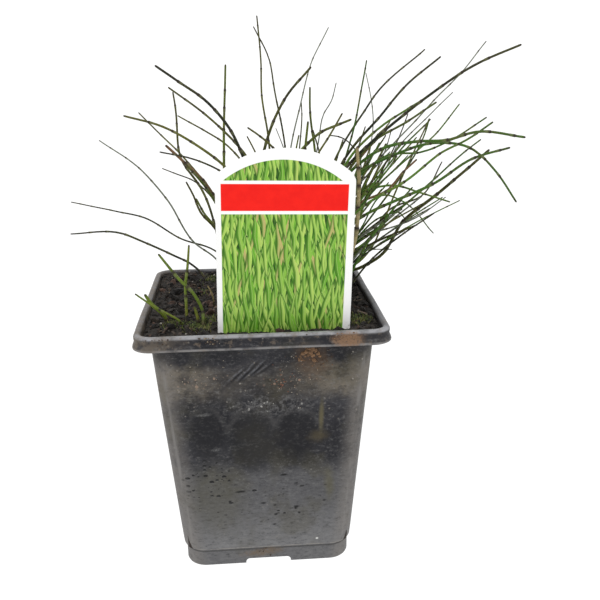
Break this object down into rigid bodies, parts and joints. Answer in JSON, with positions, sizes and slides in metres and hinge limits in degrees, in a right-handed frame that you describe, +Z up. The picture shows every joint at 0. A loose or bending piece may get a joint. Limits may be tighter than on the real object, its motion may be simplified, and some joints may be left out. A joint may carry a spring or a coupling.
{
  "type": "potted horsetail plant",
  "caption": "Dwarf horsetail plant with thin jointed stems, growing in a square black nursery pot of compost with an upright plant label.",
  "frame": {"origin": "Centre of the pot's base, on the surface it stands on; it is also the bottom centre of the whole plant's box.", "axes": "+Z up the pot and the stems. -Y is the front, the side where the label stands behind the rim, and +X is to the right seen from there. The pot's four sides lie along X and Y."},
  "size_m": [0.1653, 0.1133, 0.204],
  "materials": {
    "pot_plastic": "black moulded plastic, satin, dusty and splashed with mud",
    "compost": "coarse dark peat and bark compost, matt and grainy",
    "label_plastic": "white printed plastic, smooth satin",
    "stem_bright": "young yellow-green, satin",
    "stem_brown": "olive green turning brown at the tip",
    "stem_dark": "dark olive green, almost black against the light",
    "stem_green": "mid green, satin, with dark bands at the joints",
    "stem_grey": "thin grey-green, matt",
    "stem_olive": "olive green, satin, with dark bands at the joints",
    "stem_straw": "dry straw colour, matt"
  },
  "bodies": {
    "root": {"pot": "pot_plastic", "soil": "compost", "label": "label_plastic", "stem_left_01": "stem_dark", "stem_left_02": "stem_dark", "stem_left_03": "stem_dark", "stem_left_04": "stem_olive", "stem_left_05": "stem_dark", "stem_left_06": "stem_dark", "stem_left_07": "stem_dark", "stem_left_08": "stem_dark", "stem_left_09": "stem_brown", "stem_left_10": "stem_dark", "stem_left_11": "stem_dark", "stem_left_12": "stem_olive", "stem_left_13": "stem_grey", "stem_left_14": "stem_dark", "stem_left_15": "stem_dark", "stem_left_16": "stem_olive", "stem_top_01": "stem_dark", "stem_top_02": "stem_dark", "stem_top_03": "stem_dark", "stem_top_04": "stem_grey", "stem_top_05": "stem_olive", "stem_top_06": "stem_olive", "stem_top_07": "stem_dark", "stem_top_08": "stem_dark", "stem_top_09": "stem_dark", "stem_top_10": "stem_olive", "stem_right_01": "stem_dark", "stem_right_02": "stem_grey", "stem_right_03": "stem_dark", "stem_right_04": "stem_dark", "stem_right_05": "stem_green", "stem_right_06": "stem_green", "stem_right_07": "stem_olive", "stem_right_08": "stem_grey", "stem_right_09": "stem_green", "stem_right_10": "stem_green", "stem_right_11": "stem_green", "stem_right_12": "stem_green", "stem_right_13": "stem_green", "stem_right_14": "stem_green", "stem_right_15": "stem_green", "stem_right_16": "stem_dark", "stem_right_17": "stem_dark", "stem_right_18": "stem_green", "stem_right_19": "stem_dark", "stem_right_20": "stem_grey", "stem_right_21": "stem_grey", "stem_right_22": "stem_green", "stem_right_23": "stem_straw", "stem_right_24": "stem_brown", "stem_right_25": "stem_dark", "stem_front_01": "stem_bright", "stem_front_02": "stem_bright", "stem_front_03": "stem_bright", "stem_front_04": "stem_bright", "stem_front_05": "stem_bright"}
  },
  "joints": []
}
